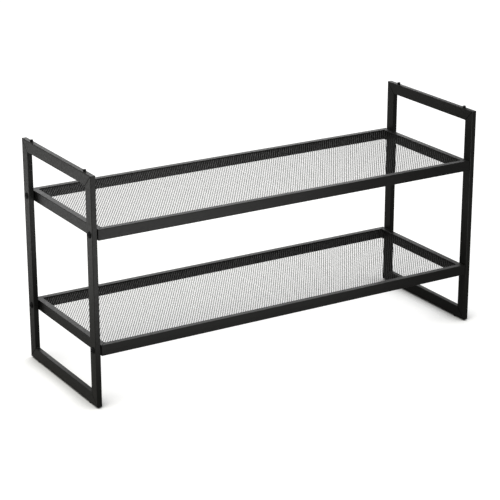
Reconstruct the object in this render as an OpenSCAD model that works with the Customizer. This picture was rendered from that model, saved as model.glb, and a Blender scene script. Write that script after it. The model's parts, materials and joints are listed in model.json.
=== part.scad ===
// Two-tier shoe rack: two mitred side frames carry two mesh shelves on bolts.
// Millimetres. X runs along the rack, Y from front to back, Z up.
// The origin is on the floor, under the middle of the rack.

/* [Overall] */
// Width over the outer faces of the side frames
rack_w = 826; // [500:1:1100]
// Depth from the front face to the back face
rack_d = 280; // [200:1:400]
// Height of the side frames above the floor, without the stacking pins
rack_h = 432; // [380:1:650]

/* [Side frames] */
// Width of the frame tube, seen from the side
post_face = 22; // [18:0.5:30]
// Thickness of the frame tube along the rack
post_t = 10; // [10:0.5:16]
// Wall of the frame tube
post_wall = 1; // [0.8:0.1:1.5]
// Outer corner radius of the frame tube
post_r = 1.2; // [0.6:0.1:2]

/* [Shelves] */
// Height of the upper shelf's top face above the floor
upper_h = 334; // [250:1:360]
// Height of the lower shelf's top face above the floor
lower_h = 119; // [60:1:180]
// Height of the shelf rail tube
rail_h = 20; // [18:0.5:28]
// Width of the shelf rail tube, seen from above
rail_w = 12; // [12:0.5:18]
// Wall of the shelf rail tube
rail_wall = 1; // [0.8:0.1:1.5]
// Outer corner radius of the shelf rail tube
rail_r = 1; // [0.6:0.1:2]
// Place of the joint between the two halves of a shelf, along X
seam_x = -8; // [-60:1:60]
// Open joint between the two halves of a shelf
seam_gap = 0.5; // [0.2:0.1:0.8]

/* [Mesh] */
// Thickness of the mesh sheet
mesh_t = 1; // [0.8:0.1:2]
// Step from the rails' top face down to the mesh
mesh_drop = 1.2; // [0.5:0.1:3]

/* [Joining sleeves] */
// Length of a sleeve, half of it in each rail
sleeve_l = 100; // [40:1:160]
// Wall of a sleeve
sleeve_wall = 1.5; // [1:0.1:2]
// Clearance between a sleeve and the rail around it
sleeve_gap = 0.2; // [0.1:0.05:0.4]

/* [Shelf bolts] */
// Shank diameter of a shelf bolt
bolt_d = 6; // [5:0.5:6]
// Diameter of the round head
head_d = 12; // [10:0.5:14]
// Height of the round head
head_h = 3.4; // [2.5:0.1:4.5]
// Height of the straight rim below the head's dome
head_rim = 1.2; // [0.6:0.1:1.6]
// Width across flats of the hexagon socket in the head
socket_af = 4; // [3:0.5:5]
// Depth of the hexagon socket
socket_deep = 2; // [1:0.1:2.4]
// How far the shank runs on past the weld nut
bolt_over = 2; // [1:0.5:3]
// Clearance around the shank, on the radius
bolt_gap = 0.25; // [0.15:0.05:0.4]
// Clearance between a shank and its weld nut, on the radius
thread_gap = 0.1; // [0.05:0.05:0.2]
// Diameter of a spacer washer
washer_d = 14; // [12:0.5:16]
// Thickness of a spacer washer, which sets the gap beside each shelf
washer_t = 2; // [1:0.1:3]
// Width across flats of a weld nut
nut_af = 10; // [9:0.5:10]
// Thickness of a weld nut
nut_t = 5; // [4:0.5:5.5]

/* [Stacking pins and feet] */
// Distance from the front and back faces to the pins and feet
pin_inset = 32; // [26:1:60]
// Diameter of a stacking pin
pin_d = 6; // [4:0.5:6]
// Height of a stacking pin above the frame
pin_h = 4; // [2:0.5:6]
// Chamfer at the top of a stacking pin
pin_chamfer = 0.8; // [0.4:0.1:1.2]
// How much wider the pin's neck is inside the wall, on the radius
pin_step = 0.2; // [0.1:0.05:0.3]
// How far the shoulder that holds a pin under the wall reaches past the hole
pin_ledge = 0.35; // [0.25:0.05:0.5]
// Thickness of that shoulder
pin_shoulder_h = 2; // [1:0.5:4]
// Clearance around a pin or a foot in its hole, on the radius
plug_gap = 0.2; // [0.1:0.05:0.3]
// Clearance between a foot's bore and the pin it stacks on, on the radius
stack_gap = 0.3; // [0.2:0.05:0.4]
// Wall of a foot's stem around its bore
foot_wall = 0.8; // [0.6:0.1:1]
// How far a foot stands out around its stem
foot_rim = 0.6; // [0.4:0.1:0.8]
// Height of a foot below the frame
foot_h = 2.5; // [2:0.1:6]
// Length of a foot's stem above the tube's wall
foot_stem_h = 3; // [2:0.5:5]

/* [Hidden] */
$fn = 48;
cut = 1;
frame_h = rack_h - foot_h;
// Outer faces of a shelf along X
shelf_x = rack_w / 2 - post_t - washer_t;
// Centre lines of the bolts, from the middle of the rack
bolt_y = rack_d / 2 - post_face / 2;
pin_y = rack_d / 2 - pin_inset;
frame_x = rack_w / 2 - post_t / 2;
bolt_l = post_t + washer_t + rail_wall + nut_t + bolt_over;
// The head's dome rises this far above its rim, on the one circle that meets the rim
dome_h = head_h - head_rim;
dome_r = (pow(head_d / 2, 2) + pow(dome_h, 2)) / (2 * dome_h);
pin_neck_d = pin_d + 2 * pin_step;
pin_hole_d = pin_neck_d + 2 * plug_gap;
pin_shoulder_d = pin_hole_d + 2 * pin_ledge;
foot_bore_d = pin_d + 2 * stack_gap;
foot_stem_d = foot_bore_d + 2 * foot_wall;
foot_hole_d = foot_stem_d + 2 * plug_gap;
foot_d = foot_stem_d + 2 * foot_rim;
steel = [0.20, 0.20, 0.20];
dark = [0.07, 0.07, 0.07];
nylon = [0.12, 0.12, 0.13];
zinc = [0.62, 0.63, 0.65];
mesh_grey = [0.32, 0.32, 0.33];

// A rectangle with round corners, centred on the origin.
module round_rect(w, h, r) {
    square([w - 2 * r, h], center = true);
    square([w, h - 2 * r], center = true);
    for (sx = [-1, 1], sy = [-1, 1])
        translate([sx * (w / 2 - r), sy * (h / 2 - r)]) circle(r);
}

// The section of a tube, whose bore has square corners.
module tube_section(w, h, wall, r) {
    difference() {
        round_rect(w, h, r);
        square([w - 2 * wall, h - 2 * wall], center = true);
    }
}

// A tube along +X from x = 0, centred on the X axis: size_y by size_z outside.
module tube_x(len, size_y, size_z, wall, r) {
    rotate([90, 0, 90]) linear_extrude(len) tube_section(size_y, size_z, wall, r);
}

// Turns a rod drawn along +Z so that it points along +X or -X.
module along_x(side) {
    rotate([0, 90 * side, 0]) children();
}

// Puts a child at both bolt heights and both depths of one side frame.
module at_bolts() {
    for (h = [upper_h, lower_h], sy = [-1, 1])
        translate([0, sy * bolt_y, h - rail_h / 2]) children();
}

// Puts a child at the two pin places along the depth.
module at_pins() {
    for (sy = [-1, 1]) translate([0, sy * pin_y, 0]) children();
}

// --- Side frames -----------------------------------------------------------

// The outline of one mitred post or rail, on the Y-Z plane.
module post_outline(front) {
    s = front ? -1 : 1;
    y = s * rack_d / 2;
    polygon([
        [y, foot_h],
        [y - s * post_face, foot_h + post_face],
        [y - s * post_face, rack_h - post_face],
        [y, rack_h]
    ]);
}

module frame_rail_outline(top) {
    z = top ? rack_h : foot_h;
    inner = top ? z - post_face : z + post_face;
    polygon([
        [-rack_d / 2, z],
        [rack_d / 2, z],
        [rack_d / 2 - post_face, inner],
        [-rack_d / 2 + post_face, inner]
    ]);
}

// An outline on the Y-Z plane made as thick as needed along X.
module mitre_block(side) {
    translate([side * frame_x - post_t, 0, 0])
        rotate([90, 0, 90]) linear_extrude(2 * post_t) children();
}

// A post: a vertical tube cut to its mitres and drilled for its shelf bolts.
module post(side, front) {
    y = (front ? -1 : 1) * bolt_y;
    color(steel) difference() {
        intersection() {
            translate([side * frame_x, y, foot_h])
                linear_extrude(frame_h) tube_section(post_t, post_face, post_wall, post_r);
            mitre_block(side) post_outline(front);
        }
        translate([side * frame_x, 0, 0]) at_bolts()
            along_x(1) cylinder(h = post_t + 2 * cut, d = bolt_d + 2 * bolt_gap, center = true);
    }
}

// A top or bottom rail: a tube along Y cut to its mitres, with its two plug holes.
module frame_rail(side, top) {
    z = top ? rack_h - post_face / 2 : foot_h + post_face / 2;
    wall_z = top ? rack_h : foot_h;
    hole_d = top ? pin_hole_d : foot_hole_d;
    color(steel) difference() {
        intersection() {
            translate([side * frame_x, -rack_d / 2, z]) rotate([0, 0, 90])
                tube_x(rack_d, post_t, post_face, post_wall, post_r);
            mitre_block(side) frame_rail_outline(top);
        }
        translate([side * frame_x, 0, wall_z]) at_pins()
            cylinder(h = 2 * (post_wall + cut), d = hole_d, center = true);
    }
}

// --- Shelves ---------------------------------------------------------------

// Outline of a front or back half rail, on the X-Y plane.
module half_rail_outline(side, front) {
    s = front ? -1 : 1;
    y = s * rack_d / 2;
    joint = seam_x + side * seam_gap / 2;
    polygon([
        [side * shelf_x, y],
        [joint, y],
        [joint, y - s * rail_w],
        [side * (shelf_x - rail_w), y - s * rail_w]
    ]);
}

// One half of a front or back rail, mitred at its outer end.
module half_rail(top_z, side, front) {
    y = (front ? -1 : 1) * (rack_d / 2 - rail_w / 2);
    color(steel) intersection() {
        translate([-shelf_x, y, top_z - rail_h / 2])
            tube_x(2 * shelf_x, rail_w, rail_h, rail_wall, rail_r);
        translate([0, 0, top_z - rail_h - cut])
            linear_extrude(rail_h + 2 * cut) half_rail_outline(side, front);
    }
}

// Outline of an end rail, mitred at both ends, on the X-Y plane.
module end_rail_outline(side) {
    x = side * shelf_x;
    polygon([
        [x, -rack_d / 2],
        [x, rack_d / 2],
        [x - side * rail_w, rack_d / 2 - rail_w],
        [x - side * rail_w, -rack_d / 2 + rail_w]
    ]);
}

// An end rail, drilled in its outer wall for the two shelf bolts.
module end_rail(top_z, side) {
    x = side * (shelf_x - rail_w / 2);
    color(steel) difference() {
        intersection() {
            translate([x, -rack_d / 2, top_z - rail_h / 2]) rotate([0, 0, 90])
                tube_x(rack_d, rail_w, rail_h, rail_wall, rail_r);
            translate([0, 0, top_z - rail_h - cut])
                linear_extrude(rail_h + 2 * cut) end_rail_outline(side);
        }
        for (sy = [-1, 1]) translate([side * shelf_x, sy * bolt_y, top_z - rail_h / 2])
            along_x(1) cylinder(h = 2 * rail_wall + cut, d = bolt_d + 2 * bolt_gap, center = true);
    }
}

// The mesh sheet of one half shelf, a plain sheet that meets the rails' inner faces.
module mesh_sheet(top_z, side) {
    joint = seam_x + side * seam_gap / 2;
    outer = side * (shelf_x - rail_w);
    depth = rack_d - 2 * rail_w;
    color(mesh_grey) translate([min(joint, outer), -depth / 2, top_z - mesh_drop - mesh_t])
        cube([abs(outer - joint), depth, mesh_t]);
}

// The sleeve that joins two half rails; it lies on the bottom wall inside them.
module sleeve(top_z, front) {
    y = (front ? -1 : 1) * (rack_d / 2 - rail_w / 2);
    w = rail_w - 2 * rail_wall - 2 * sleeve_gap;
    h = rail_h - 2 * rail_wall - 2 * sleeve_gap;
    z = top_z - rail_h + rail_wall + h / 2;
    color(zinc) translate([seam_x - sleeve_l / 2, y, z]) tube_x(sleeve_l, w, h, sleeve_wall, rail_r);
}

// --- Fasteners -------------------------------------------------------------

// A round-head bolt along +Z: the head stands on z = 0, the shank runs down.
module shelf_bolt() {
    difference() {
        union() {
            cylinder(h = head_rim, d = head_d);
            translate([0, 0, head_rim]) rotate_extrude() intersection() {
                square([head_d / 2, dome_h]);
                translate([0, dome_h - dome_r]) circle(dome_r, $fn = 96);
            }
            translate([0, 0, -bolt_l]) cylinder(h = bolt_l, d = bolt_d);
        }
        translate([0, 0, head_h - socket_deep])
            cylinder(h = socket_deep + cut, d = socket_af / cos(30), $fn = 6);
    }
}

module frame_bolts(side) {
    color(dark) translate([side * rack_w / 2, 0, 0]) at_bolts() along_x(side) shelf_bolt();
}

module spacer_washers(side) {
    color(nylon) translate([side * shelf_x, 0, 0]) at_bolts() along_x(side) difference() {
        cylinder(h = washer_t, d = washer_d);
        translate([0, 0, -cut]) cylinder(h = washer_t + 2 * cut, d = bolt_d + 2 * bolt_gap);
    }
}

// Four weld nuts of one shelf, on the inner side of the end rails' outer walls.
module weld_nuts(top_z) {
    color(zinc) for (side = [-1, 1], sy = [-1, 1])
        translate([side * (shelf_x - rail_wall), sy * bolt_y, top_z - rail_h / 2])
            along_x(-side) difference() {
                cylinder(h = nut_t, d = nut_af / cos(30), $fn = 6);
                translate([0, 0, -cut]) cylinder(h = nut_t + 2 * cut, d = bolt_d + 2 * thread_gap);
            }
}

// Two stacking pins. The neck fills the hole and the shoulder holds it under the wall.
module stacking_pins(side) {
    color(dark) translate([side * frame_x, 0, rack_h]) at_pins() {
        translate([0, 0, pin_h - pin_chamfer])
            cylinder(h = pin_chamfer, d1 = pin_d, d2 = pin_d - 2 * pin_chamfer);
        cylinder(h = pin_h - pin_chamfer, d = pin_d);
        translate([0, 0, -post_wall]) cylinder(h = post_wall, d = pin_neck_d);
        translate([0, 0, -post_wall - pin_shoulder_h]) cylinder(h = pin_shoulder_h, d = pin_shoulder_d);
    }
}

// Two feet, each bored to stack on a pin; the stem stands in the bottom rail's hole.
module feet(side) {
    color(nylon) translate([side * frame_x, 0, 0]) at_pins() difference() {
        union() {
            cylinder(h = foot_h, d = foot_d);
            cylinder(h = foot_h + post_wall + foot_stem_h, d = foot_stem_d);
        }
        translate([0, 0, -cut])
            cylinder(h = foot_h + post_wall + foot_stem_h + 2 * cut, d = foot_bore_d);
    }
}

// --- Assembly --------------------------------------------------------------

post(-1, true);  // left_front_post
post(-1, false);  // left_back_post
frame_rail(-1, true);  // left_top_rail
frame_rail(-1, false);  // left_bottom_rail
post(1, true);  // right_front_post
post(1, false);  // right_back_post
frame_rail(1, true);  // right_top_rail
frame_rail(1, false);  // right_bottom_rail
half_rail(upper_h, -1, true);  // upper_front_rail_left
half_rail(upper_h, 1, true);  // upper_front_rail_right
half_rail(upper_h, -1, false);  // upper_back_rail_left
half_rail(upper_h, 1, false);  // upper_back_rail_right
end_rail(upper_h, -1);  // upper_left_end_rail
end_rail(upper_h, 1);  // upper_right_end_rail
mesh_sheet(upper_h, -1);  // upper_mesh_left
mesh_sheet(upper_h, 1);  // upper_mesh_right
sleeve(upper_h, true);  // upper_front_sleeve
sleeve(upper_h, false);  // upper_back_sleeve
half_rail(lower_h, -1, true);  // lower_front_rail_left
half_rail(lower_h, 1, true);  // lower_front_rail_right
half_rail(lower_h, -1, false);  // lower_back_rail_left
half_rail(lower_h, 1, false);  // lower_back_rail_right
end_rail(lower_h, -1);  // lower_left_end_rail
end_rail(lower_h, 1);  // lower_right_end_rail
mesh_sheet(lower_h, -1);  // lower_mesh_left
mesh_sheet(lower_h, 1);  // lower_mesh_right
sleeve(lower_h, true);  // lower_front_sleeve
sleeve(lower_h, false);  // lower_back_sleeve
frame_bolts(-1);  // left_frame_bolts
frame_bolts(1);  // right_frame_bolts
spacer_washers(-1);  // left_spacer_washers
spacer_washers(1);  // right_spacer_washers
weld_nuts(upper_h);  // upper_shelf_weld_nuts
weld_nuts(lower_h);  // lower_shelf_weld_nuts
stacking_pins(-1);  // left_stacking_pins
stacking_pins(1);  // right_stacking_pins
feet(-1);  // left_feet
feet(1);  // right_feet
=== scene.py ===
"""Two-tier shoe rack: black powder-coated tube frames, expanded-mesh shelves, bolts, pins and feet.

Laid out as an add-on and run as a script. Everything is in metres: X runs along the rack,
Y from front to back, Z up, and the origin is on the floor under the middle of the rack.
"""

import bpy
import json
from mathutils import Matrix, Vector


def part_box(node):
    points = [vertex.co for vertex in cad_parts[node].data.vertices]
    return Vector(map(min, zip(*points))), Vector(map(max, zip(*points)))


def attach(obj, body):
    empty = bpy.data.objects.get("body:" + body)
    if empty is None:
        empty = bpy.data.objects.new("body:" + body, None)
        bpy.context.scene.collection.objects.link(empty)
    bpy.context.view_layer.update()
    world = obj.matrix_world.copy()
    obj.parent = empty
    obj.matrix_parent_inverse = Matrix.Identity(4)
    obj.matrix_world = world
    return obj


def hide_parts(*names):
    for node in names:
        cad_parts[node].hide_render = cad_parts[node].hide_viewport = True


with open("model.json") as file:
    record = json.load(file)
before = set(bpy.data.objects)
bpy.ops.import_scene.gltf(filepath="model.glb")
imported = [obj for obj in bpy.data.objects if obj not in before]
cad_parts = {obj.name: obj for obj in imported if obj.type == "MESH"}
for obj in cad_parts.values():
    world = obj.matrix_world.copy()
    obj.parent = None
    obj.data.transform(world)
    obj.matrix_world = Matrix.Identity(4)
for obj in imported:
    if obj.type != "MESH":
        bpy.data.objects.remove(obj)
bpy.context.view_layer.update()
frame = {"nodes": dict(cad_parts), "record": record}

import json
import math

import bpy
import numpy as np
from mathutils import Vector

bl_info = {
    "name": "Shoe Rack Workshop",
    "version": (1, 0, 0),
    "blender": (4, 5, 0),
    "location": "3D View > Sidebar > Shoe Rack",
    "description": "Dresses a two-tier shoe rack: mesh, welds, fasteners, coatings and studio",
    "category": "Object",
}

MM = 0.001
BODY = "root"
SIDES = ("left", "right")
SHELVES = ("upper", "lower")
NODES = frame["nodes"]
MOUNTS = {m["name"]: m for m in frame["record"]["mounts"]}

FRAME_TUBES = [f"{side}_{part}" for side in SIDES
               for part in ("front_post", "back_post", "top_rail", "bottom_rail")]
SHELF_TUBES = [f"{shelf}_{part}" for shelf in SHELVES
               for part in ("front_rail_left", "front_rail_right", "back_rail_left",
                            "back_rail_right", "left_end_rail", "right_end_rail")]
SLEEVES = [f"{shelf}_{part}_sleeve" for shelf in SHELVES for part in ("front", "back")]
WELD_NUTS = [f"{shelf}_shelf_weld_nuts" for shelf in SHELVES]


# --- Sizes and colours -----------------------------------------------------

def length(name, description, default, low=0.0, high=1.0):
    """A length property in metres."""
    return bpy.props.FloatProperty(name=name, description=description, default=default,
                                   min=low, max=high, unit="LENGTH", precision=5)


def share(name, description, default, low=0.0, high=1.0):
    """A plain number property, such as a share, a strength or a lamp's power."""
    return bpy.props.FloatProperty(name=name, description=description, default=default,
                                   min=low, max=high)


def paint(name, description, default):
    """A linear colour property."""
    return bpy.props.FloatVectorProperty(name=name, description=description, default=default,
                                         size=3, min=0.0, max=1.0, subtype="COLOR")


class RackMeshSizes(bpy.types.PropertyGroup):
    """Sizes of the expanded mesh and of the tack welds that hold it."""
    short_way: length("Short way", "Diamond pitch along the rack", 5.0 * MM, 2 * MM, 12 * MM)
    long_way: length("Long way", "Diamond pitch across the depth", 7.4 * MM, 3 * MM, 20 * MM)
    strand: length("Strand", "Width of a strand along the rack", 0.95 * MM, 0.3 * MM, 1.4 * MM)
    bond: length("Bond", "Length of the knot where strands meet", 1.0 * MM, 0.4 * MM, 3 * MM)
    gauge: length("Gauge", "Thickness of a strand", 0.42 * MM, 0.2 * MM, 1 * MM)
    tilt: length("Tilt", "Fall from a knot's left side to its middle", 0.22 * MM, 0.0, 0.3 * MM)
    tack_pitch: length("Tack pitch", "Distance between tack welds", 62 * MM, 20 * MM, 200 * MM)
    tack_length: length("Tack length", "Length of a tack along the rail", 5 * MM, 2 * MM, 12 * MM)
    tack_radius: length("Tack radius", "Radius of a tack's bead", 0.9 * MM, 0.3 * MM, 2 * MM)
    tack_ripple: length("Tack ripple", "Distance between a tack's ripples", 2.2 * MM, 1 * MM, 5 * MM)
    tack_sink: length("Tack sink", "From the sheet's top down to a tack's middle", 0.35 * MM,
                      0.0, 1 * MM)


class RackWeldSizes(bpy.types.PropertyGroup):
    """Sizes of the weld beads in the corners and of the strips of painted shade over the mitres."""
    frame_leg: length("Frame bead", "Radius of a bead in a side frame", 1.5 * MM, 0.5 * MM, 4 * MM)
    shelf_leg: length("Shelf bead", "Radius of a bead in a shelf", 1.3 * MM, 0.5 * MM, 4 * MM)
    ripple: length("Ripple", "Distance between a bead's ripples", 1.1 * MM, 0.4 * MM, 3 * MM)
    edge: length("Edge", "Bare steel between a bead and the tube's face", 1.6 * MM, 0.0, 4 * MM)
    seam_width: length("Seam width", "Width of the seam over a mitre", 1.4 * MM, 0.5 * MM, 3 * MM)
    seam_proud: length("Seam proud", "How far a seam stands out", 0.05 * MM, 0.0, 0.5 * MM)


class RackFastenerSizes(bpy.types.PropertyGroup):
    """Sizes of the bolts, washers, pins and feet that their nodes' boxes do not give."""
    head_radius: length("Head radius", "Radius of a bolt's head", 6.0 * MM, 4 * MM, 10 * MM)
    head_height: length("Head height", "From the seat to the whole dome's top", 3.4 * MM,
                        2 * MM, 6 * MM)
    rim_height: length("Rim height", "Height at which the dome meets the rim", 1.2 * MM, 0.5 * MM,
                       2 * MM)
    socket_width: length("Socket width", "Hexagon socket across its flats", 4.0 * MM, 2 * MM, 6 * MM)
    socket_depth: length("Socket depth", "From the whole dome's top to its floor", 2.0 * MM,
                         1 * MM, 4 * MM)
    shank_radius: length("Shank radius", "Radius of a bolt's shank", 3.0 * MM, 2 * MM, 4 * MM)
    shank_length: length("Shank length", "Length under the head", 20.0 * MM, 14 * MM, 40 * MM)
    plain_length: length("Plain length", "Shank before its thread", 11.5 * MM, 5 * MM, 13 * MM)
    thread_pitch: length("Thread pitch", "Distance between turns", 1.0 * MM, 0.5 * MM, 2 * MM)
    thread_depth: length("Thread depth", "Height of a turn", 0.3 * MM, 0.1 * MM, 1 * MM)
    washer_radius: length("Washer radius", "Outer radius of a washer", 7.0 * MM, 4 * MM, 10 * MM)
    washer_bore: length("Washer bore", "Radius of a washer's hole", 3.25 * MM, 2 * MM, 5 * MM)
    pin_neck: length("Pin neck", "Radius of a pin inside the tube's wall", 3.2 * MM, 2 * MM, 4 * MM)
    tube_wall: length("Tube wall", "Wall that a pin goes through", 1.0 * MM, 0.6 * MM, 2 * MM)
    stem_wall: length("Stem wall", "Wall of a foot's stem round its bore", 0.8 * MM, 0.4 * MM, 2 * MM)


class RackCoats(bpy.types.PropertyGroup):
    """Colours, roughness and gloss of the finishes."""
    frame_coat: paint("Frame coat", "Powder coat of the side frames", (0.0060, 0.0060, 0.0054))
    shelf_coat: paint("Shelf coat", "Powder coat of the shelf rails", (0.0048, 0.0048, 0.0046))
    mesh_coat: paint("Mesh coat", "Powder coat of the mesh", (0.007, 0.007, 0.007))
    bolt_black: paint("Bolt black", "Black oxide on bolts and pins", (0.0025, 0.0025, 0.0028))
    # Painted shade: on the mitre strips this black stands in for the shade in a groove; the sleeves
    # take the same black.
    seam_shade_and_sleeve_black: paint("Seam shade and sleeve black", "Seams over mitres, and sleeves in the rail joints",
                      (0.0015, 0.0015, 0.0015))
    nylon_black: paint("Nylon", "Moulded washers and feet", (0.010, 0.010, 0.011))
    zinc: paint("Zinc", "Plated weld nuts", (0.58, 0.60, 0.63))
    coat_roughness: share("Coat roughness", "Roughness of the side frames and the welds", 0.42)
    rail_roughness: share("Rail roughness", "Roughness of the shelf rails", 0.40)
    mesh_roughness: share("Mesh roughness", "Roughness of the mesh", 0.47)
    seam_roughness: share("Seam roughness", "Roughness of the seams and sleeves", 0.57)
    coat_gloss: share("Coat gloss", "Strength of reflections on frames, rails and welds", 0.20)
    mesh_gloss: share("Mesh gloss", "Strength of reflections on the mesh", 0.16)
    seam_gloss: share("Seam gloss", "Strength of reflections on the seams and sleeves", 0.05)
    mesh_grain: share("Mesh grain", "Depth of the coat's grain on the mesh, as a share", 0.4)


class RackStudio(bpy.types.PropertyGroup):
    """Camera, floor and lights."""
    lens: bpy.props.FloatProperty(name="Lens", description="Focal length", default=128.7,
                                  min=20.0, max=300.0, unit="CAMERA")
    aim: bpy.props.FloatVectorProperty(name="Aim", description="Point that the camera looks at",
                                       default=(-0.0138, -0.0042, 0.1857), subtype="XYZ",
                                       unit="LENGTH", precision=4)
    distance: length("Distance", "From the camera to its aim", 3.418, 0.5, 20.0)
    azimuth: bpy.props.FloatProperty(name="Azimuth", description="Camera's turn about the rack",
                                     default=math.radians(-31.225), subtype="ANGLE")
    elevation: bpy.props.FloatProperty(name="Elevation", description="Camera above the horizon",
                                       default=math.radians(19.459), subtype="ANGLE")
    floor_colour: paint("Floor", "Pale floor", (0.35, 0.35, 0.35))
    floor_bounce: share("Floor bounce", "Share of light that the floor gives back to the rack", 0.34)
    floor_glow: share("Floor glow", "Light that keeps the floor white to the camera", 0.88, 0.0, 5.0)
    # The glow's fade near the rack is a painted contact shadow; these three set its spread and its
    # depth.
    contact: length("Contact", "How far a contact shadow spreads on the floor", 110 * MM, 0.0, 0.5)
    contact_dark: share("Contact dark", "Openness of the floor at which its glow is gone", 0.35)
    contact_clear: share("Contact clear", "Openness of the floor at which its glow is full", 0.95)
    sky: share("Sky", "Strength of the even white light on the rack", 0.45, 0.0, 10.0)
    backdrop: share("Backdrop", "Brightness of the backdrop behind the floor", 1.0, 0.0, 10.0)
    key_colour: paint("Key colour", "A slightly warm white", (1.0, 0.99, 0.88))
    key: share("Key", "Power of the soft lamp above the left end", 80.0, 0.0, 500.0)
    rear: share("Rear", "Power of the long soft lamp behind the rack", 20.0, 0.0, 500.0)
    front_card: share("Front card", "Power of the low card before the left end", 18.0, 0.0, 100.0)
    left_card: share("Left card", "Power of the low card off the left end", 6.0, 0.0, 100.0)


# --- Geometry helpers ------------------------------------------------------

def add_mesh(name, verts, quads, tris=None, smooth=True, sharp=None):
    """Puts whole arrays of points, four-sided and three-sided faces into a new mesh object.

    sharp is the angle in degrees from which an edge stays hard on a smooth piece.
    """
    mesh = bpy.data.meshes.new(name)
    quads = np.asarray(quads, dtype=np.int32).reshape(-1, 4)
    tris = np.zeros((0, 3), np.int32) if tris is None else np.asarray(tris, np.int32).reshape(-1, 3)
    corners = np.concatenate([quads.ravel(), tris.ravel()])
    sizes = np.concatenate([np.full(len(quads), 4, np.int32), np.full(len(tris), 3, np.int32)])
    starts = np.concatenate([[0], np.cumsum(sizes)[:-1]]).astype(np.int32)
    mesh.vertices.add(len(verts))
    mesh.vertices.foreach_set("co", np.asarray(verts, np.float32).ravel())
    mesh.loops.add(len(corners))
    mesh.loops.foreach_set("vertex_index", corners.astype(np.int32))
    mesh.polygons.add(len(sizes))
    mesh.polygons.foreach_set("loop_start", starts)
    mesh.polygons.foreach_set("use_smooth", np.full(len(sizes), smooth))
    mesh.update(calc_edges=True)
    if mesh.validate():
        raise RuntimeError(f"{name} has faulty faces")
    if sharp is not None:
        mesh.set_sharp_from_angle(angle=math.radians(sharp))
    piece = bpy.data.objects.new(name, mesh)
    bpy.context.scene.collection.objects.link(piece)
    return piece


def joined(parts):
    """Several (points, quads, tris) groups as one, with their numbering shifted in turn."""
    verts, quads, tris, start = [], [], [], 0
    for part_verts, part_quads, part_tris in parts:
        verts.append(part_verts)
        quads.append(part_quads + start)
        tris.append(part_tris + start)
        start += len(part_verts)
    return np.concatenate(verts), np.concatenate(quads), np.concatenate(tris)


def turned(radii, heights, around=48, lobes=None):
    """A solid of revolution: each profile point goes round the Z axis as a ring.

    Point (u, v) is (r(u, v) cos v, r(u, v) sin v, h(u)). The profile runs upwards over the
    outside, and a fan of triangles to a point on the axis closes each end. lobes, if given, is an
    array of the rings' radii over u and v in place of a plain circle.
    """
    heights = np.asarray(heights, float)
    angle = np.linspace(0, 2 * math.pi, around, endpoint=False)
    rings = np.repeat(np.asarray(radii, float)[:, None], around, axis=1) if lobes is None else lobes
    ring_count = len(heights)
    verts = np.stack([rings * np.cos(angle), rings * np.sin(angle),
                      np.repeat(heights[:, None], around, axis=1)], axis=-1).reshape(-1, 3)
    poles = np.array([[0, 0, heights[0]], [0, 0, heights[-1]]])
    verts = np.concatenate([verts, poles])
    u, v = np.meshgrid(np.arange(ring_count - 1), np.arange(around), indexing="ij")
    w = (v + 1) % around
    quads = np.stack([u * around + v, u * around + w, (u + 1) * around + w,
                      (u + 1) * around + v], axis=-1).reshape(-1, 4)
    v = np.arange(around)
    w = (v + 1) % around
    first = np.full(around, ring_count * around)
    last_ring = (ring_count - 1) * around
    tris = np.concatenate([np.stack([first, w, v], axis=-1),
                           np.stack([first + 1, last_ring + v, last_ring + w], axis=-1)])
    return verts, quads, tris


def turned_ring(radii, heights, around=48):
    """A ring of revolution: a closed profile goes round the Z axis, so there is no end to close.

    Point (u, v) is (r(u) cos v, r(u) sin v, h(u)), with u and v running in closed loops. The
    profile goes anticlockwise, with the radius to the right and the height up.
    """
    radii, heights = np.asarray(radii, float), np.asarray(heights, float)
    angle = np.linspace(0, 2 * math.pi, around, endpoint=False)
    verts = np.stack([radii[:, None] * np.cos(angle), radii[:, None] * np.sin(angle),
                      np.repeat(heights[:, None], around, axis=1)], axis=-1).reshape(-1, 3)
    count = len(radii)
    u, v = np.meshgrid(np.arange(count), np.arange(around), indexing="ij")
    un, vn = (u + 1) % count, (v + 1) % around
    quads = np.stack([u * around + v, u * around + vn, un * around + vn, un * around + v],
                     axis=-1).reshape(-1, 4)
    return verts, quads, np.zeros((0, 3), int)


def arc(centre_r, centre_h, radius, start, end, count):
    """Points on a circle of the profile, from angle start to angle end in degrees."""
    a = np.radians(np.linspace(start, end, count))
    return centre_r + radius * np.cos(a), centre_h + radius * np.sin(a)


def profile(*pieces):
    """Chains (radii, heights) pieces into one profile."""
    radii = np.concatenate([np.atleast_1d(np.asarray(p[0], float)) for p in pieces])
    heights = np.concatenate([np.atleast_1d(np.asarray(p[1], float)) for p in pieces])
    return radii, heights


def laid_along_x(part, side, at):
    """A part made along +Z turned to point along +X or -X by a rotation, and moved to its place."""
    verts, quads, tris = part
    x, y, z = verts.T
    turned_verts = np.stack([side * z, y, -side * x], axis=-1)
    return turned_verts + np.asarray(at), quads, tris


def lifted(part, at):
    """A part moved to its place."""
    return part[0] + np.asarray(at), part[1], part[2]


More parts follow.
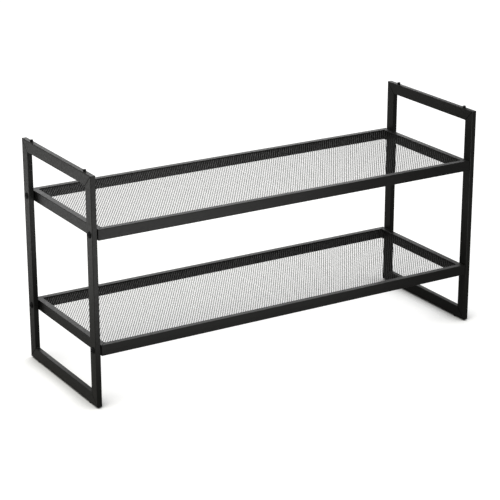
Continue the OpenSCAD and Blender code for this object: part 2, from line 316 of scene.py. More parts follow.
def bead(start, end, radius, ripple, around=12):
    """A weld bead: a circle carried along a straight line, with rounded ends.

    Point (s, v) is the line's point at s plus the radius times a circle in the plane across it.
    The radius is the bead's own times a quarter-circle taper at each end, times one plus a small
    cosine of s, which makes the ripples. Both ends close on a pole.
    """
    start, end = np.asarray(start, float), np.asarray(end, float)
    span = np.linalg.norm(end - start)
    along = (end - start) / span
    side_a = np.cross(along, [0.3, 0.5, 0.81])
    side_a /= np.linalg.norm(side_a)
    side_b = np.cross(along, side_a)
    inner = np.linspace(0, span, max(8, int(round(span / ripple * 5))))
    ends = 1 - np.cos(np.radians([22, 45, 67]))
    s = np.concatenate([ends * radius * 0.999, inner[(inner > radius) & (inner < span - radius)],
                        (span - ends * radius * 0.999)[::-1]])
    near_end = np.clip(np.minimum(s, span - s) / radius, 0, 1)
    taper = np.sqrt(np.clip(1 - (1 - near_end) ** 2, 0, 1))
    swell = radius * taper * (1 + 0.07 * np.cos(2 * math.pi * s / ripple))
    v = np.linspace(0, 2 * math.pi, around, endpoint=False)
    ring = np.cos(v)[:, None] * side_a + np.sin(v)[:, None] * side_b
    body = (start + s[:, None] * along)[:, None, :] + swell[:, None, None] * ring[None]
    return closed_sweep(body, start, end)


def mitre_shade_strip(start, end, out, sizes, around=16):
    """The thin dark strip of painted shade that closes a mitre, where a groove's shade would fall: a
    flat lens carried along the mitre's line.

    Point (s, v) is the line's point at s, plus half the seam's width times cos v along the face,
    plus its height times sin v out of the face. Both are multiplied by a quarter-circle taper at
    the two ends, which close on a pole.
    """
    start, end, out = (np.asarray(p, float) for p in (start, end, out))
    span = np.linalg.norm(end - start)
    along = (end - start) / span
    across = np.cross(out, along)
    half = sizes.seam_width / 2
    s = np.concatenate([half * np.array([0.1, 0.35, 0.7]), [half, span - half],
                        span - half * np.array([0.7, 0.35, 0.1])])
    near_end = np.clip(np.minimum(s, span - s) / half, 0, 1)
    taper = np.sqrt(1 - (1 - near_end) ** 2)[:, None, None]
    v = np.linspace(0, 2 * math.pi, around, endpoint=False)
    lens = half * np.cos(v)[:, None] * across + sizes.seam_proud * np.sin(v)[:, None] * out
    body = (start + s[:, None] * along)[:, None, :] + taper * lens[None]
    return closed_sweep(body, start, end)


def closed_sweep(body, start, end):
    """Faces over a grid of rings whose rows close round, with a fan to a pole at each end."""
    count, around = body.shape[:2]
    verts = np.concatenate([body.reshape(-1, 3), [start, end]])
    u, w = np.meshgrid(np.arange(count - 1), np.arange(around), indexing="ij")
    wn = (w + 1) % around
    quads = np.stack([u * around + w, u * around + wn, (u + 1) * around + wn,
                      (u + 1) * around + w], axis=-1).reshape(-1, 4)
    w = np.arange(around)
    wn = (w + 1) % around
    pole = np.full(around, count * around)
    last = (count - 1) * around
    tris = np.concatenate([np.stack([pole, wn, w], axis=-1),
                           np.stack([pole + 1, last + w, last + wn], axis=-1)])
    return verts, quads, tris


def spaced(low, high, pitch):
    """Middles of equal stretches between two ends, as near to the pitch as they divide."""
    count = int(round((high - low) / pitch))
    return low + (np.arange(count) + 0.5) * (high - low) / count


# --- Finishes --------------------------------------------------------------

def new_finish(name):
    """An empty node material with its shader and an Object-coordinate input."""
    finish = bpy.data.materials.new(name)
    finish.use_nodes = True
    nodes = finish.node_tree.nodes
    shader = nodes["Principled BSDF"]
    coords = nodes.new("ShaderNodeTexCoord")
    return finish, finish.node_tree, shader, coords


def noise_from(tree, coords, scale, detail=3.0, roughness=0.5, stretch=(1, 1, 1)):
    """A noise texture on Object coordinates; scale counts features per metre."""
    mapping = tree.nodes.new("ShaderNodeMapping")
    mapping.inputs["Scale"].default_value = stretch
    tree.links.new(coords.outputs["Object"], mapping.inputs["Vector"])
    noise = tree.nodes.new("ShaderNodeTexNoise")
    noise.inputs["Scale"].default_value = scale
    noise.inputs["Detail"].default_value = detail
    noise.inputs["Roughness"].default_value = roughness
    tree.links.new(mapping.outputs["Vector"], noise.inputs["Vector"])
    return noise.outputs["Fac"]


def between(tree, factor, low, high, start=0.3, end=0.7):
    """Maps a factor from the range start..end onto low..high."""
    node = tree.nodes.new("ShaderNodeMapRange")
    node.inputs["From Min"].default_value = start
    node.inputs["From Max"].default_value = end
    node.inputs["To Min"].default_value = low
    node.inputs["To Max"].default_value = high
    tree.links.new(factor, node.inputs["Value"])
    return node.outputs["Result"]


def colours_from(tree, factor, dark, light, start=0.35, end=0.65):
    """Mixes two colours by a factor."""
    ramp = tree.nodes.new("ShaderNodeValToRGB")
    ramp.color_ramp.elements[0].position = start
    ramp.color_ramp.elements[0].color = (*dark, 1)
    ramp.color_ramp.elements[1].position = end
    ramp.color_ramp.elements[1].color = (*light, 1)
    tree.links.new(factor, ramp.inputs["Fac"])
    return ramp.outputs["Color"]


def bumps(tree, shader, layers):
    """Chains bump nodes: each layer is (height factor, depth in metres)."""
    last = None
    for height, depth in layers:
        node = tree.nodes.new("ShaderNodeBump")
        node.inputs["Strength"].default_value = 1.0
        node.inputs["Distance"].default_value = depth
        tree.links.new(height, node.inputs["Height"])
        if last is not None:
            tree.links.new(last.outputs["Normal"], node.inputs["Normal"])
        last = node
    tree.links.new(last.outputs["Normal"], shader.inputs["Normal"])


def toned(colour, gain):
    """The colour made darker or lighter by a gain."""
    return tuple(c * gain for c in colour)


def powder_coat(name, colour, roughness, gloss, grain=1.0):
    """Satin black powder coat: slow changes of depth, orange peel and a fine sandy grain."""
    finish, tree, shader, coords = new_finish(name)
    drift = noise_from(tree, coords, scale=9.0, detail=4.0, roughness=0.55)
    tree.links.new(colours_from(tree, drift, toned(colour, 0.86), toned(colour, 1.18)),
                   shader.inputs["Base Color"])
    peel = noise_from(tree, coords, scale=240.0, detail=2.0, roughness=0.45)
    sand = noise_from(tree, coords, scale=1500.0, detail=2.0, roughness=0.6)
    tree.links.new(between(tree, peel, low=roughness - 0.05, high=roughness + 0.06),
                   shader.inputs["Roughness"])
    shader.inputs["Specular IOR Level"].default_value = gloss
    bumps(tree, shader, [(peel, 0.030 * MM * grain), (sand, 0.012 * MM * grain)])
    return finish


def black_oxide(name, colour):
    """Blackened steel: darker than the coat, a little oily, with fine machining lines."""
    finish, tree, shader, coords = new_finish(name)
    cloud = noise_from(tree, coords, scale=160.0, detail=3.0, roughness=0.6)
    tree.links.new(colours_from(tree, cloud, toned(colour, 0.7), toned(colour, 1.6)),
                   shader.inputs["Base Color"])
    lines = noise_from(tree, coords, scale=900.0, detail=2.0, stretch=(3.0, 1.0, 1.0))
    tree.links.new(between(tree, cloud, low=0.26, high=0.40), shader.inputs["Roughness"])
    shader.inputs["Specular IOR Level"].default_value = 0.16
    bumps(tree, shader, [(lines, 0.010 * MM)])
    return finish


def moulded_nylon(name, colour):
    """Moulded black nylon: matt, with a fine spark-eroded grain."""
    finish, tree, shader, coords = new_finish(name)
    cloud = noise_from(tree, coords, scale=70.0, detail=3.0)
    tree.links.new(colours_from(tree, cloud, toned(colour, 0.85), toned(colour, 1.2)),
                   shader.inputs["Base Color"])
    grain = noise_from(tree, coords, scale=1800.0, detail=2.0, roughness=0.6)
    tree.links.new(between(tree, grain, low=0.5, high=0.62), shader.inputs["Roughness"])
    shader.inputs["Specular IOR Level"].default_value = 0.35
    bumps(tree, shader, [(grain, 0.015 * MM)])
    return finish


def zinc_plate(name, colour):
    """Bright zinc plate: a metal with patchy crystal tones and drawing lines."""
    finish, tree, shader, coords = new_finish(name)
    spangle = tree.nodes.new("ShaderNodeTexVoronoi")
    spangle.inputs["Scale"].default_value = 400.0
    tree.links.new(coords.outputs["Object"], spangle.inputs["Vector"])
    tree.links.new(colours_from(tree, spangle.outputs["Distance"], toned(colour, 0.8), colour,
                                start=0.1, end=0.8), shader.inputs["Base Color"])
    lines = noise_from(tree, coords, scale=700.0, detail=2.0, stretch=(0.05, 1.0, 1.0))
    tree.links.new(between(tree, lines, low=0.26, high=0.42), shader.inputs["Roughness"])
    shader.inputs["Metallic"].default_value = 1.0
    bumps(tree, shader, [(lines, 0.008 * MM)])
    return finish


def coat(objects, finish):
    """Puts one finish on objects, in place of whatever they carry."""
    for piece in objects:
        if not piece.material_slots:
            piece.data.materials.append(finish)
        for place in piece.material_slots:
            place.material = finish


def fit_piece(name, parts, finish, slot, *nodes, smooth=True, sharp=None):
    """Joins parts into one new piece, coats it and makes it ride with the rack.

    slot is not used, and nodes are the CAD nodes that it stands for.
    """
    piece = add_mesh(name, *joined(parts), smooth=smooth, sharp=sharp)
    coat([piece], finish)
    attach(piece, BODY)
    if nodes:
        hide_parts(*nodes)


# --- Pieces ----------------------------------------------------------------

def expanded_mesh(low, high, sizes):
    """Expanded mesh between two corners, as one closed body.

    Knots sit on a grid of columns and rows, on every second crossing. Each knot has six points
    above and six below: left, middle and right at its near end and its far end. Four strands
    leave it, each to a knot in the next column and row, so every strand shares its ends with two
    knots. Height is the sheet's middle less the tilt times the place across a knot (minus one at
    its left, plus one at its right), so knots fall and strands climb along X. Knots on the border
    are cut through their middle, which makes the sheet meet the rails in a straight line.
    """
    (x0, y0, _), (x1, y1, _) = low, high
    columns = int(round((x1 - x0) / (sizes.short_way / 2)))
    rows = int(round((y1 - y0) / (sizes.long_way / 2)))
    xs = np.linspace(x0, x1, columns + 1)
    ys = np.linspace(y0, y1, rows + 1)
    i, j = np.meshgrid(np.arange(columns + 1), np.arange(rows + 1), indexing="ij")
    knot = (i + j) % 2 == 0
    number = np.full(knot.shape, -1)
    number[knot] = np.arange(knot.sum())
    i, j = i[knot], j[knot]
    has_left, has_right = i > 0, i < columns
    has_near, has_far = j > 0, j < rows
    knot_half, bond_half = sizes.strand, sizes.bond / 2
    left, right = xs[i] - knot_half * has_left, xs[i] + knot_half * has_right
    near, far = ys[j] - bond_half * has_near, ys[j] + bond_half * has_far
    tilt = sizes.tilt
    middle = (low[2] + high[2]) / 2
    x = np.stack([left, xs[i], right, left, xs[i], right], axis=1)
    y = np.stack([near, near, near, far, far, far], axis=1)
    z = middle - tilt * np.stack([0 - has_left, 0 * i, 0 + has_right] * 2, axis=1)
    upper = np.stack([x, y, z + sizes.gauge / 2], axis=-1)
    lower = np.stack([x, y, z - sizes.gauge / 2], axis=-1)
    verts = np.concatenate([upper, lower], axis=1).reshape(-1, 3)
    LN, MN, RN, LF, MF, RF = range(6)
    first = 12 * np.arange(len(i))

    def slab(a, b, c, d, keep=None):
        """Top and bottom quads over four corner numbers, counted anticlockwise from above."""
        top = np.stack([a, b, c, d], axis=-1)
        under = np.stack([d, c, b, a], axis=-1) + 6
        both = (top, under) if keep is None else (top[keep], under[keep])
        return np.concatenate(both)

    def wall(a, b, keep=None):
        """A vertical quad under the edge from a to b, with the metal on its left."""
        quad = np.stack([b, a, a + 6, b + 6], axis=-1)
        return quad if keep is None else quad[keep]

    def other(di, dj, keep):
        """The first point number of the knot one column and row away."""
        return 12 * number[i[keep] + di, j[keep] + dj]

    faces = [
        slab(first + LN, first + MN, first + MF, first + LF, has_left),
        slab(first + MN, first + RN, first + RF, first + MF, has_right),
        wall(first + LF, first + LN, has_left),
        wall(first + RN, first + RF, has_right),
        wall(first + MF, first + MN, ~has_left),
        wall(first + MN, first + MF, ~has_right),
        wall(first + LN, first + MN, ~has_near & has_left),
        wall(first + MN, first + RN, ~has_near & has_right),
        wall(first + MF, first + LF, ~has_far & has_left),
        wall(first + RF, first + MF, ~has_far & has_right),
    ]
    rise = has_right & has_far
    a, b = first[rise], other(1, 1, rise)
    faces += [slab(a + MF, a + RF, b + MN, b + LN), wall(a + RF, b + MN), wall(b + LN, a + MF)]
    fall = has_right & has_near
    a, b = first[fall], other(1, -1, fall)
    faces += [slab(a + MN, b + LF, b + MF, a + RN), wall(a + MN, b + LF), wall(b + MF, a + RN)]
    return verts, np.concatenate(faces), np.zeros((0, 3), int)


def bolt_solid(sizes, around=48):
    """One round-head bolt along +Z with its head's seat on z = 0.

    The profile goes from the socket's floor up its wall, over the lip and the dome, round the
    rim, under the head and down the shank to its chamfer. The dome is a sphere whose radius is
    (head radius squared plus dome height squared) over twice the dome height. In the socket the
    ring's radius is a hexagon: half the width across flats over the cosine of the angle from the
    nearest flat's middle. On the threaded length it is the shank's radius less a triangle wave of
    height and angle, one pitch a turn, which draws a helix.
    """
    head_r, head_h, rim_h = sizes.head_radius, sizes.head_height, sizes.rim_height
    shank_r, shank_end = sizes.shank_radius, -sizes.shank_length
    dome_h = head_h - rim_h
    dome_r = (head_r ** 2 + dome_h ** 2) / (2 * dome_h)
    angle = np.linspace(0, 2 * math.pi, around, endpoint=False)
    hexagon = sizes.socket_width / 2 / np.cos((angle + math.pi / 6) % (math.pi / 3) - math.pi / 6)
    rings, heights = [], []

    def ring(radius, height):
        rings.append(np.broadcast_to(radius, (around,)).astype(float))
        heights.append(height)

    def dome(radius):
        return head_h - dome_r + math.sqrt(dome_r ** 2 - radius ** 2)

    floor = head_h - sizes.socket_depth
    lip = dome(2.3 * MM)
    ring(0.5 * hexagon, floor - 0.25 * MM)
    ring(0.97 * hexagon, floor)
    ring(hexagon, floor + 0.12 * MM)
    ring(hexagon, lip - 0.35 * MM)
    ring(np.maximum(hexagon, 2.2 * MM), lip - 0.12 * MM)
    for radius in (2.45, 2.9, 3.5, 4.2, 4.9, 5.4, 5.7):
        ring(radius * MM, dome(radius * MM))
    rim_round = 0.35 * MM
    for turn in (70, 50, 30, 10):
        ring(head_r - rim_round + rim_round * math.cos(math.radians(turn)),
             rim_h - 0.1 * MM + rim_round * math.sin(math.radians(turn)))
    edge = 0.3 * MM
    ring(head_r, rim_h - edge)
    ring(head_r, edge)
    ring(head_r - 0.3 * edge, 0.3 * edge)
    ring(head_r - edge, 0.0)
    fillet = 0.25 * MM
    ring(shank_r + fillet, 0.0)
    ring(shank_r, -fillet)
    ring(shank_r, -sizes.plain_length)
    thread_start = -sizes.plain_length - 0.5 * MM
    for height in np.arange(thread_start, shank_end + 0.6 * MM, -0.25 * MM):
        wave = (height / sizes.thread_pitch - angle / (2 * math.pi)) % 1
        ring(shank_r - sizes.thread_depth * np.abs(2 * wave - 1), height)
    chamfer = 0.35 * MM
    ring(shank_r - chamfer, shank_end + chamfer)
    ring(shank_r - 2 * chamfer, shank_end)
    return turned(None, heights[::-1], around, np.array(rings)[::-1])


def washer_solid(bore, outer, thick):
    """One flat washer along +Z from z = 0: a rectangle with round corners goes round the axis."""
    r = 0.35 * MM
    loop = profile(arc(outer - r, r, r, -90, 0, 4), arc(outer - r, thick - r, r, 0, 90, 4),
                   arc(bore + r, thick - r, r, 90, 180, 4), arc(bore + r, r, r, 180, 270, 4))
    return turned_ring(*loop, around=40)


def pin_solid(radius, height, neck, shoulder, wall, depth):
    """One stacking pin along +Z: shoulder below the wall, neck in it, crowned top above.

    z = 0 is the wall's top. height is above it, and depth is how far the shoulder goes below it.
    """
    bevel, foot, crown = 0.2 * MM, 0.15 * MM, 0.9 * MM
    r, h = profile(([shoulder - bevel, shoulder], [-depth, -depth + bevel]),
                   ([shoulder, neck, neck], [-wall, -wall, -0.02 * MM]),
                   ([radius + foot, radius], [0.0, foot]),
                   arc(radius - crown, height - crown, crown, 0, 80, 7),
                   ([radius * 0.45, radius * 0.2], [height - 0.004 * MM, height]))
    return turned(r, h, 40)


def foot_solid(bore, stem, outer, height, top):
    """One moulded foot along +Z: a round pad with a soft lower edge, its stem and its bore."""
    r, lead, mouth, bevel = 0.45 * MM, 0.4 * MM, 0.2 * MM, 0.3 * MM
    loop = profile(([bore + lead], [0.0]), arc(outer - r, r, r, -90, 0, 5),
                   ([outer, stem, stem, stem - bevel], [height, height, top - lead, top]),
                   ([bore + mouth, bore, bore], [top, top - mouth, lead]))
    return turned_ring(*loop, around=40)


# --- Operators -------------------------------------------------------------

class RACK_OT_side_frames(bpy.types.Operator):
    """Coats the posts and rails of the two side frames"""
    bl_idname = "rack.side_frames"
    bl_label = "Side frames"

    def execute(self, context):
        coats = context.scene.rack_coats
        finish = powder_coat("frame powder coat", coats.frame_coat, coats.coat_roughness,
                             coats.coat_gloss)
        coat([NODES[name] for name in FRAME_TUBES], finish)
        return {"FINISHED"}


class RACK_OT_shelf_frames(bpy.types.Operator):
    """Coats the rails of the two shelves and the parts inside them"""
    bl_idname = "rack.shelf_frames"
    bl_label = "Shelf frames"

    def execute(self, context):
        coats = context.scene.rack_coats
        rail_finish = powder_coat("shelf powder coat", coats.shelf_coat, coats.rail_roughness,
                                  coats.coat_gloss)
        coat([NODES[name] for name in SHELF_TUBES], rail_finish)
        coat([NODES[name] for name in WELD_NUTS], zinc_plate("bright zinc plate", coats.zinc))
        sleeve_finish = powder_coat("sleeve black", coats.seam_shade_and_sleeve_black, coats.seam_roughness,
                                    coats.seam_gloss)
        coat([NODES[name] for name in SLEEVES], sleeve_finish)
        return {"FINISHED"}


class RACK_OT_mesh_panels(bpy.types.Operator):
    """Makes the four panels of expanded mesh"""
    bl_idname = "rack.mesh_panels"
    bl_label = "Mesh panels"

    def execute(self, context):
        sizes, coats = context.scene.rack_mesh, context.scene.rack_coats
        finish = powder_coat("mesh powder coat", coats.mesh_coat, coats.mesh_roughness,
                             coats.mesh_gloss, coats.mesh_grain)
        for shelf in SHELVES:
            for side in SIDES:
                node = f"{shelf}_mesh_{side}"
                panel = expanded_mesh(*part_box(node), sizes)
                fit_piece(f"{shelf}_expanded_mesh_{side}", [panel], finish, "mesh_steel", node,
                          smooth=False)
        return {"FINISHED"}


class RACK_OT_mesh_tacks(bpy.types.Operator):
    """Makes the small welds that hold the mesh to the rails"""
    bl_idname = "rack.mesh_tacks"
    bl_label = "Mesh tack welds"

    def execute(self, context):
        sizes, coats = context.scene.rack_mesh, context.scene.rack_coats
        finish = powder_coat("tack powder coat", coats.shelf_coat, coats.coat_roughness,
                             coats.coat_gloss)
        half = sizes.tack_length / 2
        for shelf in SHELVES:
            spots = []
            for side in SIDES:
                low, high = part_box(f"{shelf}_mesh_{side}")
                z = high[2] - sizes.tack_sink
                for x in spaced(low[0], high[0], sizes.tack_pitch):
                    spots += [((x - half, y, z), (x + half, y, z)) for y in (low[1], high[1])]
                outer = low[0] if side == "left" else high[0]
                for y in spaced(low[1], high[1], sizes.tack_pitch):
                    spots.append(((outer, y - half, z), (outer, y + half, z)))
            tacks = [bead(start, end, sizes.tack_radius, sizes.tack_ripple, around=8)
                     for start, end in spots]
            fit_piece(f"{shelf}_mesh_tack_welds", tacks, finish, "shelf_steel")
        return {"FINISHED"}


class RACK_OT_corner_beads(bpy.types.Operator):
    """Makes the weld beads in the inner corners of the side frames and the shelves"""
    bl_idname = "rack.corner_beads"
    bl_label = "Corner weld beads"

    def execute(self, context):
        sizes, coats = context.scene.rack_welds, context.scene.rack_coats
        frame_finish = powder_coat("frame weld coat", coats.frame_coat, coats.coat_roughness,
                                   coats.coat_gloss)
        shelf_finish = powder_coat("shelf weld coat", coats.shelf_coat, coats.coat_roughness,
                                   coats.coat_gloss)
        for side in SIDES:
            near, far = (corner[0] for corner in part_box(f"{side}_front_post"))
            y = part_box(f"{side}_back_post")[0][1]
            heights = (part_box(f"{side}_bottom_rail")[1][2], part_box(f"{side}_top_rail")[0][2])
            beads = [bead((near + sizes.edge, sy * y, z), (far - sizes.edge, sy * y, z),
                          sizes.frame_leg, sizes.ripple)
                     for sy in (-1, 1) for z in heights]
            fit_piece(f"{side}_frame_weld_beads", beads, frame_finish, "frame_steel")
        for shelf in SHELVES:
            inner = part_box(f"{shelf}_mesh_left")[0]
            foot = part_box(f"{shelf}_left_end_rail")[0][2] + sizes.edge
            beads = [bead((-sx * inner[0], -sy * inner[1], foot),
                          (-sx * inner[0], -sy * inner[1], inner[2]),
                          sizes.shelf_leg, sizes.ripple)
                     for sx in (-1, 1) for sy in (-1, 1)]
            fit_piece(f"{shelf}_shelf_weld_beads", beads, shelf_finish, "shelf_steel")
        return {"FINISHED"}


class RACK_OT_mitre_shade_strips(bpy.types.Operator):
    """Makes the thin dark strips of painted shade over the mitres of the side frames and the shelves
    """
    bl_idname = "rack.mitre_seams"
    bl_label = "Mitre shade strips"

    def execute(self, context):
        sizes, coats = context.scene.rack_welds, context.scene.rack_coats
        # Painted shade: a near-black, dull coat on strips where a mitre's groove would be shaded.
        finish = powder_coat("painted seam shade", coats.seam_shade_and_sleeve_black, coats.seam_roughness,
                             coats.seam_gloss)
        half = sizes.seam_width / 2
        for side in SIDES:
            near, far = (corner[0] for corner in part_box(f"{side}_front_post"))
            y_in, y_out = (corner[1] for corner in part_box(f"{side}_back_post"))
            bottom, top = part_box(f"{side}_bottom_rail"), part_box(f"{side}_top_rail")
            heights = ((bottom[0][2] + half, bottom[1][2]), (top[1][2] - half, top[0][2]))
            seams = [mitre_shade_strip((x, sy * (y_out - half), z_out), (x, sy * y_in, z_in),
                                (face, 0, 0), sizes)
                     for x, face in ((near, -1), (far, 1)) for sy in (-1, 1)
                     for z_out, z_in in heights]
            fit_piece(f"{side}_mitre_seams", seams, finish, "frame_steel")
        for shelf in SHELVES:
            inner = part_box(f"{shelf}_mesh_left")[0]
            low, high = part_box(f"{shelf}_left_end_rail")
            x_out, y_out = low[0] + half, low[1] + half
            seams = [mitre_shade_strip((sx * x_out, sy * y_out, z), (sx * inner[0], sy * inner[1], z),
                                (0, 0, face), sizes)
                     for z, face in ((low[2], -1), (high[2], 1))
                     for sx in (-1, 1) for sy in (-1, 1)]
            fit_piece(f"{shelf}_mitre_seams", seams, finish, "shelf_steel")
        return {"FINISHED"}


class RACK_OT_bolts(bpy.types.Operator):
    """Makes the eight round-head shelf bolts, seated on the outer faces of the posts"""
    bl_idname = "rack.bolts"
    bl_label = "Shelf bolts"

    def execute(self, context):
        sizes = context.scene.rack_fasteners
        finish = black_oxide("black oxide", context.scene.rack_coats.bolt_black)
        bolt = bolt_solid(sizes)
        for side, sign in zip(SIDES, (-1, 1)):
            node = f"{side}_frame_bolts"
            low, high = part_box(node)
            seat = max((face[0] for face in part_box(f"{side}_front_post")), key=abs)
            heights = (low[2] + sizes.head_radius, high[2] - sizes.head_radius)
            bolts = [laid_along_x(bolt, sign, (seat, sy * (high[1] - sizes.head_radius), z))
                     for sy in (-1, 1) for z in heights]
            fit_piece(f"{side}_shelf_bolts", bolts, finish, "black_hardware", node, sharp=35)
        return {"FINISHED"}


class RACK_OT_spacers(bpy.types.Operator):
    """Makes the eight spacer washers beside the shelves"""
    bl_idname = "rack.spacers"
    bl_label = "Spacer washers"

    def execute(self, context):
        sizes = context.scene.rack_fasteners
        finish = moulded_nylon("washer nylon", context.scene.rack_coats.nylon_black)
        outer = sizes.washer_radius
        for side in SIDES:
            node = f"{side}_spacer_washers"
            low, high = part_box(node)
            washer = washer_solid(sizes.washer_bore, outer, high[0] - low[0])
            heights = (low[2] + outer, high[2] - outer)
            washers = [laid_along_x(washer, 1, (low[0], sy * (high[1] - outer), z))
                       for sy in (-1, 1) for z in heights]
            fit_piece(f"{side}_spacers", washers, finish, "black_nylon", node, sharp=50)
        return {"FINISHED"}


class RACK_OT_stacking_pins(bpy.types.Operator):
    """Makes the four stacking pins on the top rails"""
    bl_idname = "rack.stacking_pins"
    bl_label = "Stacking pins"

    def execute(self, context):
        sizes = context.scene.rack_fasteners
        finish = black_oxide("pin black", context.scene.rack_coats.bolt_black)
        for side in SIDES:
            node = f"{side}_stacking_pins"
            low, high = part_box(node)
            rail_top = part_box(f"{side}_top_rail")[1][2]
            x, shoulder = (low[0] + high[0]) / 2, (high[0] - low[0]) / 2
            radius = MOUNTS[f"{side}_front_pin"]["dims"]["r_mm"] * MM
            pin = pin_solid(radius, high[2] - rail_top, sizes.pin_neck, shoulder,
                            sizes.tube_wall, rail_top - low[2])
            pins = [lifted(pin, (x, sy * (high[1] - shoulder), rail_top)) for sy in (-1, 1)]
            fit_piece(f"{side}_pins", pins, finish, "black_hardware", node, sharp=40)
        return {"FINISHED"}


class RACK_OT_feet(bpy.types.Operator):
    """Makes the four moulded feet"""
    bl_idname = "rack.feet"
    bl_label = "Feet"

    def execute(self, context):
        sizes = context.scene.rack_fasteners
        finish = moulded_nylon("foot nylon", context.scene.rack_coats.nylon_black)
        for side in SIDES:
            node = f"{side}_feet"
            low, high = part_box(node)
            rail_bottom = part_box(f"{side}_bottom_rail")[0][2]
            x, outer = (low[0] + high[0]) / 2, (high[0] - low[0]) / 2
            bore = MOUNTS[f"{side}_front_foot_bore"]["dims"]["r_mm"] * MM
            foot = foot_solid(bore, bore + sizes.stem_wall, outer, rail_bottom, high[2])
            feet = [lifted(foot, (x, sy * (high[1] - outer), 0.0)) for sy in (-1, 1)]
            fit_piece(f"{side}_rack_feet", feet, finish, "black_nylon", node, sharp=40)
        return {"FINISHED"}


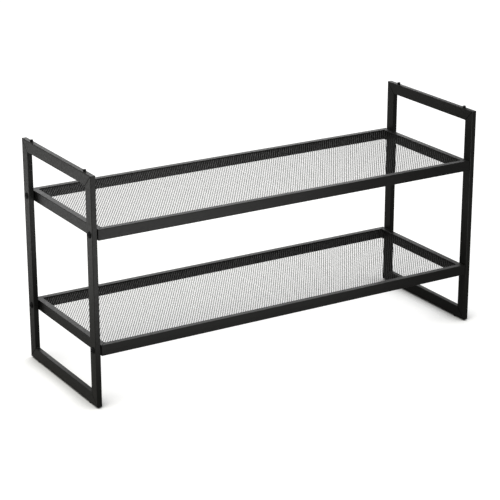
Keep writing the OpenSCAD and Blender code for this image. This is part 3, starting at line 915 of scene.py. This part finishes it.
class RACK_OT_studio(bpy.types.Operator):
    """Lays the pale floor, hangs the lights and sets up the camera"""
    bl_idname = "rack.studio"
    bl_label = "Studio"

    def execute(self, context):
        scene = context.scene
        self.lay_floor(scene.rack_studio)
        self.light(scene, scene.rack_studio)
        self.place_camera(scene, scene.rack_studio)
        scene.view_settings.view_transform = "Standard"
        return {"FINISHED"}

    def lay_floor(self, studio):
        """One large square, a hair under the feet.

        To the camera it is pale paper with a glow. The glow fades by ambient occlusion where the rack
        stands close, which paints a contact shadow. To everything else it is a plain grey that does
        not glow.
        """
        half, z = 30.0, -0.2 * MM
        corners = [(-half, -half, z), (half, -half, z), (half, half, z), (-half, half, z)]
        floor = add_mesh("studio_floor", corners, [(0, 1, 2, 3)], smooth=False)
        finish, tree, shader, coords = new_finish("pale studio paper")
        seen = tree.nodes.new("ShaderNodeLightPath").outputs["Is Camera Ray"]
        mottle = noise_from(tree, coords, scale=3.0, detail=2.0)
        paper = colours_from(tree, mottle, toned(studio.floor_colour, 0.99), studio.floor_colour)
        tone = tree.nodes.new("ShaderNodeMix")
        tone.data_type = "RGBA"
        tone.inputs["A"].default_value = (*(studio.floor_bounce,) * 3, 1.0)
        tree.links.new(seen, tone.inputs["Factor"])
        tree.links.new(paper, tone.inputs["B"])
        tree.links.new(tone.outputs["Result"], shader.inputs["Base Color"])
        shader.inputs["Roughness"].default_value = 0.9
        shader.inputs["Specular IOR Level"].default_value = 0.0
        # Painted contact shadow: the camera's floor glow fades with ambient occlusion near the rack.
        painted_shadow_openness = tree.nodes.new("ShaderNodeAmbientOcclusion")
        painted_shadow_openness.inputs["Distance"].default_value = studio.contact
        glow = between(tree, painted_shadow_openness.outputs["AO"], low=0.0, high=studio.floor_glow,
                       start=studio.contact_dark, end=studio.contact_clear)
        seen_glow = tree.nodes.new("ShaderNodeMath")
        seen_glow.operation = "MULTIPLY"
        tree.links.new(seen, seen_glow.inputs[0])
        tree.links.new(glow, seen_glow.inputs[1])
        tree.links.new(seen_glow.outputs["Value"], shader.inputs["Emission Strength"])
        shader.inputs["Emission Color"].default_value = (1.0, 1.0, 1.0, 1.0)
        coat([floor], finish)

    def light(self, scene, studio):
        """Even white light, soft lamps above the left end and behind, and two low cards."""
        world = bpy.data.worlds.new("studio_light")
        world.use_nodes = True
        tree = world.node_tree
        background = tree.nodes["Background"]
        background.inputs["Color"].default_value = (1.0, 1.0, 1.0, 1.0)
        seen = tree.nodes.new("ShaderNodeLightPath").outputs["Is Camera Ray"]
        tree.links.new(between(tree, seen, low=studio.sky, high=studio.backdrop, start=0.0, end=1.0),
                       background.inputs["Strength"])
        scene.world = world
        key = self.hang(scene, "left_softbox", studio.key, size=(2.2, 2.0),
                        place=(-1.6, -0.7, 3.0), aim=(-0.1, 0.0, 0.1))
        key.data.color = studio.key_colour
        self.hang(scene, "rear_softbox", studio.rear, size=(3.2, 1.0),
                  place=(0.6, 2.6, 1.05), aim=(0.0, 0.0, 0.25))
        self.hang(scene, "front_card", studio.front_card, size=(1.3, 1.4),
                  place=(-0.2, -1.15, 0.01), aim=(-0.2, -1.15, 1.0))
        self.hang(scene, "left_card", studio.left_card, size=(1.2, 1.3),
                  place=(-1.25, 0.95, 0.01), aim=(-1.25, 0.95, 1.0))

    def hang(self, scene, name, power, size, place, aim):
        """A rectangular soft lamp, turned towards its aim and not seen by the camera."""
        lamp = bpy.data.lights.new(name, "AREA")
        lamp.shape = "RECTANGLE"
        lamp.size, lamp.size_y = size
        lamp.energy = power
        softbox = bpy.data.objects.new(name, lamp)
        softbox.location = place
        direction = Vector(aim) - Vector(place)
        softbox.rotation_euler = direction.to_track_quat("-Z", "Y").to_euler()
        softbox.visible_camera = False
        scene.collection.objects.link(softbox)
        return softbox

    def place_camera(self, scene, studio):
        """The camera looks at its aim from the given turn, height and distance."""
        data = bpy.data.cameras.new("camera")
        data.sensor_width = 36.0
        data.lens = studio.lens
        data.clip_end = 200.0
        camera = bpy.data.objects.new("camera", data)
        flat = math.cos(studio.elevation)
        back = Vector((math.sin(studio.azimuth) * flat, -math.cos(studio.azimuth) * flat,
                       math.sin(studio.elevation)))
        camera.location = Vector(studio.aim) + back * studio.distance
        camera.rotation_euler = (-back).to_track_quat("-Z", "Y").to_euler()
        scene.collection.objects.link(camera)
        scene.camera = camera


class RACK_PT_workshop(bpy.types.Panel):
    """Lists the steps of the rack"""
    bl_idname = "RACK_PT_workshop"
    bl_label = "Shoe Rack"
    bl_space_type = "VIEW_3D"
    bl_region_type = "UI"
    bl_category = "Shoe Rack"

    def draw(self, context):
        for operator in OPERATORS:
            self.layout.operator(operator.bl_idname)


GROUPS = {"rack_mesh": RackMeshSizes, "rack_welds": RackWeldSizes,
          "rack_fasteners": RackFastenerSizes, "rack_coats": RackCoats, "rack_studio": RackStudio}
OPERATORS = (RACK_OT_side_frames, RACK_OT_shelf_frames, RACK_OT_mesh_panels, RACK_OT_mesh_tacks,
             RACK_OT_corner_beads, RACK_OT_mitre_shade_strips, RACK_OT_bolts, RACK_OT_spacers,
             RACK_OT_stacking_pins, RACK_OT_feet, RACK_OT_studio)


def register():
    """Adds the settings, the operators and the panel."""
    for group in GROUPS.values():
        bpy.utils.register_class(group)
    for name, group in GROUPS.items():
        setattr(bpy.types.Scene, name, bpy.props.PointerProperty(type=group))
    for operator in OPERATORS:
        bpy.utils.register_class(operator)
    bpy.utils.register_class(RACK_PT_workshop)


def unregister():
    """Takes them away again, in reverse order."""
    bpy.utils.unregister_class(RACK_PT_workshop)
    for operator in reversed(OPERATORS):
        bpy.utils.unregister_class(operator)
    for name in GROUPS:
        delattr(bpy.types.Scene, name)
    for group in reversed(list(GROUPS.values())):
        bpy.utils.unregister_class(group)


def main():
    """Runs every step in order."""
    register()
    rack = bpy.ops.rack
    for step in (rack.side_frames, rack.shelf_frames, rack.mesh_panels, rack.mesh_tacks,
                 rack.corner_beads, rack.mitre_seams, rack.bolts, rack.spacers,
                 rack.stacking_pins, rack.feet, rack.studio):
        step()


if __name__ == "__main__":
    main()
